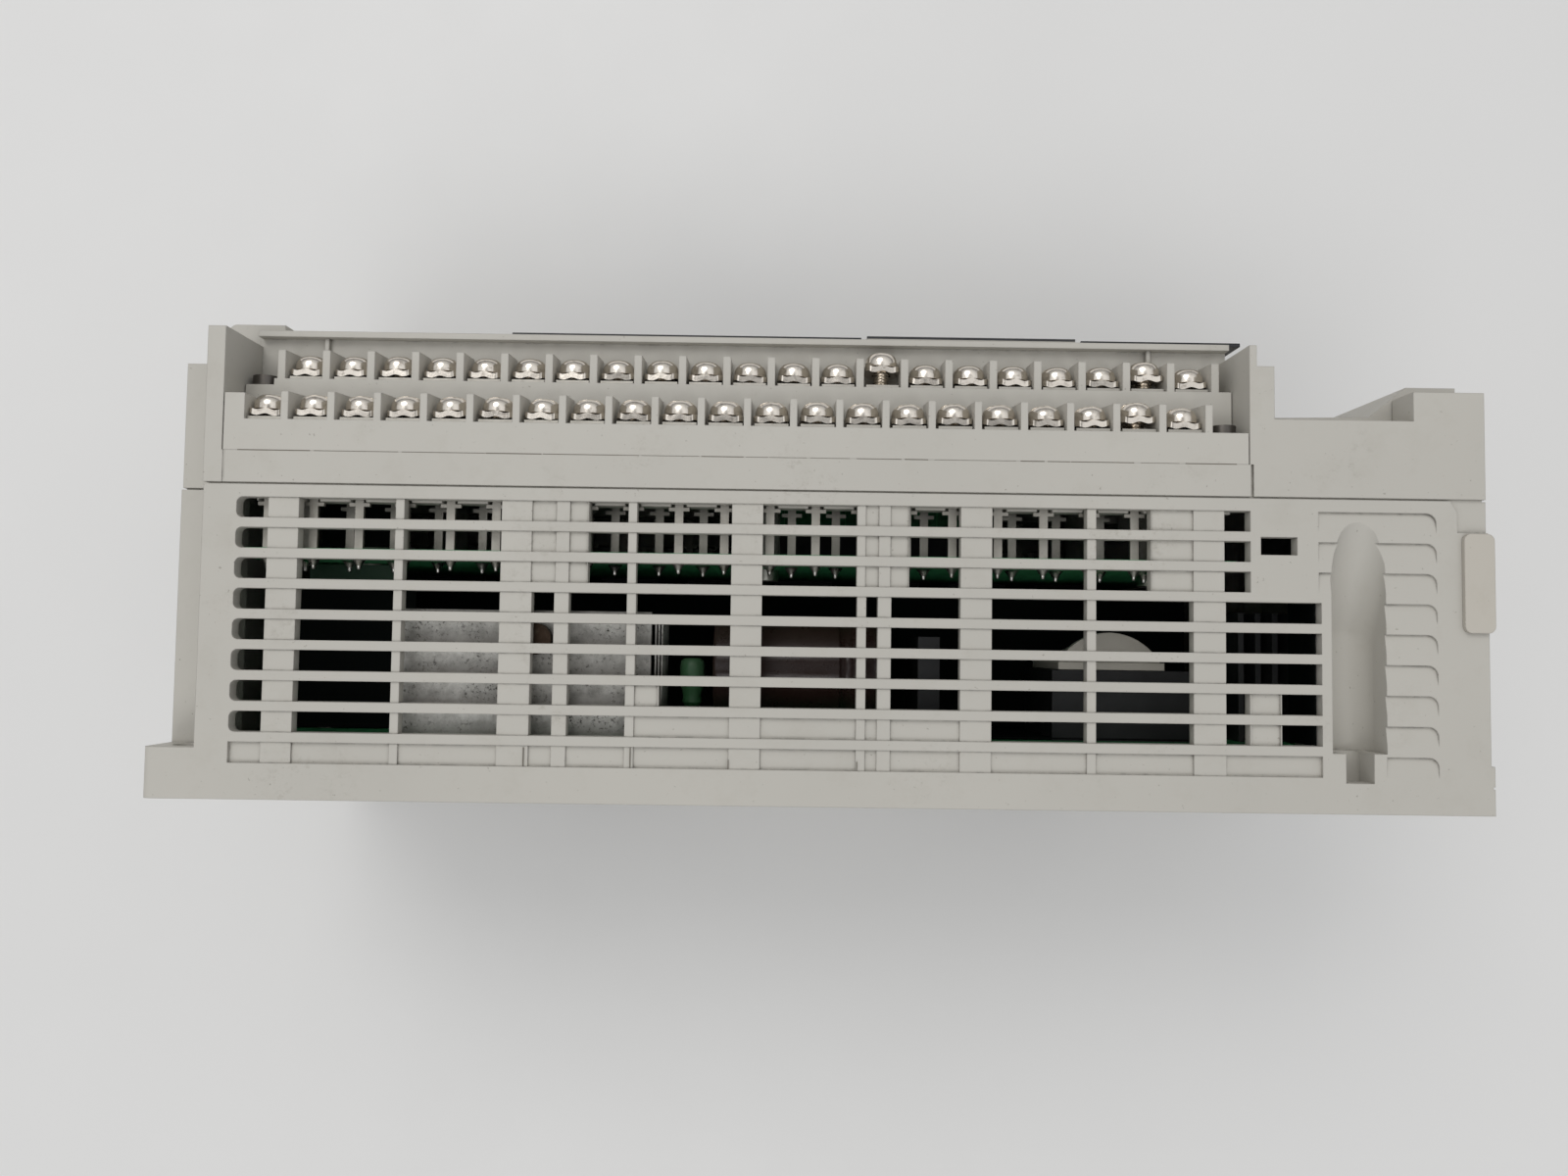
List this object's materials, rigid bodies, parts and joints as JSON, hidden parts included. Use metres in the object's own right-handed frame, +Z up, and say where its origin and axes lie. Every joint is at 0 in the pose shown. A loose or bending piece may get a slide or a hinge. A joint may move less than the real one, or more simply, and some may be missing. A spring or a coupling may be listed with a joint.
{
  "type": "programmable logic controller module",
  "caption": "Compact industrial controller module with rows of screw terminals, vent grille, rail hooks and a hinged terminal cover.",
  "frame": {"origin": "On the rail centre line in the plane of the back face, half way between the two ends of the case.", "axes": "+Z is up as mounted on a wall, -Y is the direction the front faces, +X is to the right seen from the front."},
  "size_m": [0.22, 0.086, 0.0918],
  "materials": {
    "case_plastic": "fine moulded texture, light warm grey",
    "cover_plastic": "fine moulded texture, light warm grey",
    "cream_plastic": "smooth cream moulding",
    "dark_plastic": "black moulding",
    "panel_film": "dark satin film",
    "clear_plastic": "clear smoky window",
    "nickel_steel": "bright nickel plate",
    "tinned_metal": "matte tin plate",
    "black_steel": "black oxide",
    "zinc_steel": "zinc plate",
    "green_board": "green solder resist",
    "aluminium_sheet": "dusty rolled sheet",
    "black_metal": "dark lacquer",
    "brown_sleeve": "dark brown shrink sleeve",
    "green_sleeve": "green sleeve",
    "fuse_glass": "clear glass",
    "battery_wrap": "shrink wrap",
    "lamp_plastic": "red lamp bodies"
  },
  "bodies": {
    "housing": {"rear_case": "case_plastic", "front_case": "case_plastic", "top_terminal_block": "case_plastic", "bottom_terminal_block": "case_plastic", "option_cover": "case_plastic", "display_cover": "case_plastic", "transformer_bobbin": "cream_plastic", "port_socket": "dark_plastic", "switch_body": "dark_plastic", "expansion_connector": "dark_plastic", "battery_holder": "dark_plastic", "header_sockets": "dark_plastic", "filter_capacitor": "dark_plastic", "power_transistors": "dark_plastic", "output_relays": "dark_plastic", "name_panel": "panel_film", "status_panel": "panel_film", "window_lenses": "clear_plastic", "top_lower_screws": "nickel_steel", "top_lower_washers": "nickel_steel", "top_upper_screws": "nickel_steel", "top_upper_washers": "nickel_steel", "bottom_lower_screws": "nickel_steel", "bottom_lower_washers": "nickel_steel", "bottom_upper_screws": "nickel_steel", "bottom_upper_washers": "nickel_steel", "top_lower_contacts": "tinned_metal", "top_upper_contacts": "tinned_metal", "bottom_lower_contacts": "tinned_metal", "bottom_upper_contacts": "tinned_metal", "solder_joints": "tinned_metal", "fuse_clips": "tinned_metal", "top_block_screws": "black_steel", "bottom_block_screws": "black_steel", "io_board_screws": "zinc_steel", "cpu_board_screws": "zinc_steel", "power_board_screws": "zinc_steel", "heat_sink_screw": "zinc_steel", "io_board": "green_board", "cpu_board": "green_board", "power_board": "green_board", "link_board": "green_board", "heat_sink": "aluminium_sheet", "finned_heat_sink": "black_metal", "transformer_core": "black_metal", "line_filter_choke": "black_metal", "main_capacitor": "brown_sleeve", "sleeved_resistor": "green_sleeve", "fuse": "fuse_glass", "battery": "battery_wrap", "indicator_lamps": "lamp_plastic"},
    "terminal_cover": {"bottom_terminal_cover": "cover_plastic"},
    "port_flap": {"port_cover": "cover_plastic"},
    "mode_switch": {"run_stop_switch": "dark_plastic"},
    "top_hook": {"top_adapter_hook": "cream_plastic"},
    "bottom_hook": {"bottom_adapter_hook": "cream_plastic"},
    "left_rail_hook": {"left_din_hook": "dark_plastic"},
    "right_rail_hook": {"right_din_hook": "dark_plastic"},
    "expansion_lid": {"expansion_cover": "case_plastic"},
    "battery_lid": {"battery_cover": "case_plastic"}
  },
  "joints": [
    {"name": "terminal_cover_hinge", "type": "hinge", "parent": "housing", "child": "terminal_cover", "pos_m": [0.0143, -0.0709, -0.0429], "axis": [1, 0, 0], "range_deg": [0, 105]},
    {"name": "port_flap_hinge", "type": "hinge", "parent": "housing", "child": "port_flap", "pos_m": [-0.083, -0.068, -0.0156], "axis": [-1, 0, 0], "range_deg": [0, 110]},
    {"name": "mode_switch_slide", "type": "slide", "parent": "housing", "child": "mode_switch", "axis": [0, 0, -1], "range_m": [0, 0.003]},
    {"name": "top_hook_slide", "type": "slide", "parent": "housing", "child": "top_hook", "axis": [0, -1, 0], "range_m": [0, 0.0045]},
    {"name": "bottom_hook_slide", "type": "slide", "parent": "housing", "child": "bottom_hook", "axis": [0, -1, 0], "range_m": [0, 0.0045]},
    {"name": "left_rail_hook_slide", "type": "slide", "parent": "housing", "child": "left_rail_hook", "axis": [0, 0, -1], "range_m": [0, 0.005], "stiffness_N_per_m": 400},
    {"name": "right_rail_hook_slide", "type": "slide", "parent": "housing", "child": "right_rail_hook", "axis": [0, 0, -1], "range_m": [0, 0.005], "stiffness_N_per_m": 400},
    {"name": "expansion_lid_lift", "type": "slide", "parent": "housing", "child": "expansion_lid", "axis": [0, -1, 0], "range_m": [0, 0.012]},
    {"name": "battery_lid_lift", "type": "slide", "parent": "housing", "child": "battery_lid", "axis": [0, -1, 0], "range_m": [0, 0.012]}
  ]
}
